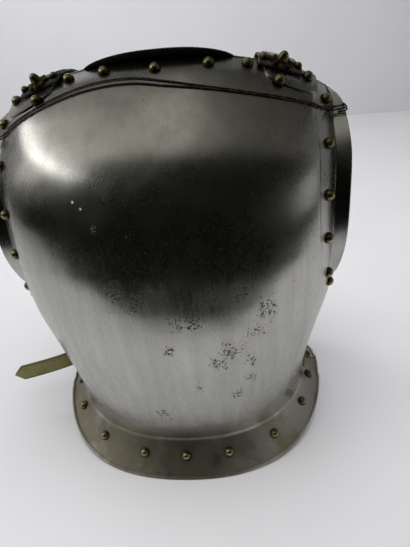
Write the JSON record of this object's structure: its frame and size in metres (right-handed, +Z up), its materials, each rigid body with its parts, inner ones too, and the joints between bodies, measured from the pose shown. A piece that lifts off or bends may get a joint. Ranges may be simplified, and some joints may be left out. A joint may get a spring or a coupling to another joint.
{
  "type": "cuirass",
  "caption": "Cavalry cuirass of polished steel back and breast plates with domed brass border rivets, flared waist, rolled-out arm openings, brass-faced shoulder straps and a leather belt.",
  "frame": {"origin": "middle of the flat land under the back plate's rim, on the floor", "axes": "+Z up; the wearer faces -Y and the back plate is at +Y; +X is the wearer's left"},
  "size_m": [0.4199, 0.3276, 0.439],
  "materials": {
    "steel": "polished by hand, fine vertical scratches, small rust pits",
    "brass": "tarnished, worn bright on top",
    "iron": "dull and darkened",
    "buff_leather": "old buff leather, soiled edges",
    "brown_leather": "dark brown, worn"
  },
  "bodies": {
    "root": {"back_plate": "steel", "belt": "buff_leather", "belt_stud_left": "iron", "belt_stud_right": "iron", "breast_plate": "steel", "buckle": "brass", "buckle_strap": "buff_leather", "end_plate_left": "steel", "end_plate_right": "steel", "hanging_wire": "iron", "rivet_arm_1_left": "brass", "rivet_arm_1_right": "brass", "rivet_arm_2_left": "brass", "rivet_arm_2_right": "brass", "rivet_arm_3_left": "brass", "rivet_arm_3_right": "brass", "rivet_arm_4_left": "brass", "rivet_arm_4_right": "brass", "rivet_arm_5_left": "brass", "rivet_arm_5_right": "brass", "rivet_arm_6_left": "brass", "rivet_arm_6_right": "brass", "rivet_flange_1_left": "brass", "rivet_flange_1_right": "brass", "rivet_flange_2_left": "brass", "rivet_flange_2_right": "brass", "rivet_flange_3_left": "brass", "rivet_flange_3_right": "brass", "rivet_flange_4_left": "brass", "rivet_flange_4_right": "brass", "rivet_flange_middle": "brass", "rivet_neck_1_left": "brass", "rivet_neck_1_right": "brass", "rivet_neck_2_left": "brass", "rivet_neck_2_right": "brass", "rivet_neck_middle": "brass", "rivet_shoulder_1_left": "brass", "rivet_shoulder_1_right": "brass", "rivet_shoulder_2_left": "brass", "rivet_shoulder_2_right": "brass", "rivet_side_1_left": "brass", "rivet_side_1_right": "brass", "rivet_side_2_left": "brass", "rivet_side_2_right": "brass", "rosette_left": "brass", "rosette_right": "brass", "shoulder_strap_left": "brown_leather", "shoulder_strap_right": "brown_leather", "strap_facing_left": "brass", "strap_facing_right": "brass", "strap_rivet_inner_left": "brass", "strap_rivet_inner_right": "brass", "strap_rivet_outer_left": "brass", "strap_rivet_outer_right": "brass", "strap_stud_left": "brass", "strap_stud_right": "brass"}
  },
  "joints": []
}
